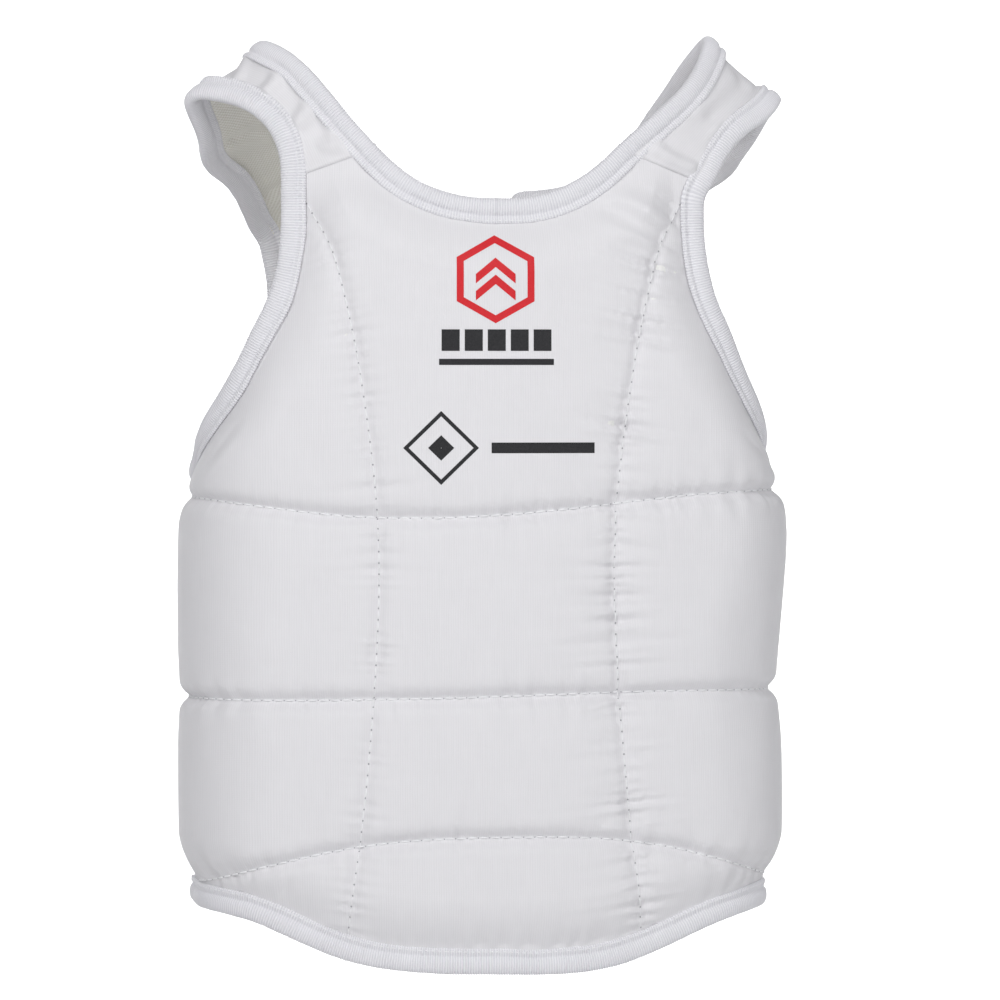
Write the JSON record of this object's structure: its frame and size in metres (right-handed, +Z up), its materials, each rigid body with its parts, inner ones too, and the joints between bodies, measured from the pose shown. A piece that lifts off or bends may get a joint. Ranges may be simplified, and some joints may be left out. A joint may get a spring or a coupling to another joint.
{
  "type": "chest protector",
  "caption": "Quilted foam chest guard with bound shoulder straps and elastic back halves that close with hook-and-loop straps.",
  "frame": {"origin": "midpoint between the two places where the straps rest on the wearer's shoulders", "axes": "+X to the wearer's left, +Y from the wearer's chest to the back, +Z up"},
  "size_m": [0.2996, 0.1753, 0.4646],
  "materials": {
    "woven_cover": "fine woven, slightly sheened white",
    "mesh_lining": "matte cream mesh",
    "foam": "soft closed-cell foam",
    "binding_tape": "ribbed white elastic tape",
    "knit_elastic": "ribbed white knitted elastic",
    "closure_webbing": "flat woven white webbing",
    "hook_fastener": "white hook tape",
    "loop_fastener": "white brushed loop tape"
  },
  "bodies": {
    "front_panel": {"arm_binding_front_left": "binding_tape", "arm_binding_front_right": "binding_tape", "front_cover": "woven_cover", "front_lining": "mesh_lining", "hem_binding": "binding_tape", "neck_binding_front": "binding_tape", "pad_belly_centre": "foam", "pad_belly_left": "foam", "pad_belly_right": "foam", "pad_chest_centre": "foam", "pad_chest_left": "foam", "pad_chest_right": "foam", "pad_rib_centre": "foam", "pad_rib_left": "foam", "pad_rib_right": "foam", "pad_waist_centre": "foam", "pad_waist_left": "foam", "pad_waist_right": "foam", "strap_cover_front_left": "woven_cover", "strap_cover_front_right": "woven_cover", "strap_lining_front_left": "mesh_lining", "strap_lining_front_right": "mesh_lining"},
    "back_left": {"arm_binding_back_left": "binding_tape", "back_binding_left": "binding_tape", "closure_sewn_end_lower": "closure_webbing", "closure_sewn_end_upper": "closure_webbing", "strap_cover_back_left": "woven_cover", "strap_lining_back_left": "mesh_lining", "wing_left": "knit_elastic"},
    "back_right": {"arm_binding_back_right": "binding_tape", "back_binding_right": "binding_tape", "loop_patch_lower": "loop_fastener", "loop_patch_upper": "loop_fastener", "strap_cover_back_right": "woven_cover", "strap_lining_back_right": "mesh_lining", "wing_right": "knit_elastic"},
    "closure_upper": {"closure_strap_upper": "closure_webbing", "hook_patch_upper": "hook_fastener"},
    "closure_lower": {"closure_strap_lower": "closure_webbing", "hook_patch_lower": "hook_fastener"}
  },
  "joints": [
    {"name": "back_left_swing", "type": "hinge", "parent": "front_panel", "child": "back_left", "pos_m": [0.1425, 0.012, -0.27], "axis": [0, 0, -1], "range_deg": [0, 30]},
    {"name": "back_right_swing", "type": "hinge", "parent": "front_panel", "child": "back_right", "pos_m": [-0.1425, 0.012, -0.27], "axis": [0, 0, -1], "range_deg": [-30, 0]},
    {"name": "closure_upper_peel", "type": "hinge", "parent": "back_left", "child": "closure_upper", "pos_m": [0.038, 0.08187, -0.15], "axis": [0, 0, -1], "range_deg": [0, 120]},
    {"name": "closure_lower_peel", "type": "hinge", "parent": "back_left", "child": "closure_lower", "pos_m": [0.038, 0.08187, -0.285], "axis": [0, 0, -1], "range_deg": [0, 120]}
  ],
  "couplings": [
    {"joint": "back_right_swing", "follows": "back_left_swing", "ratio": -1}
  ]
}
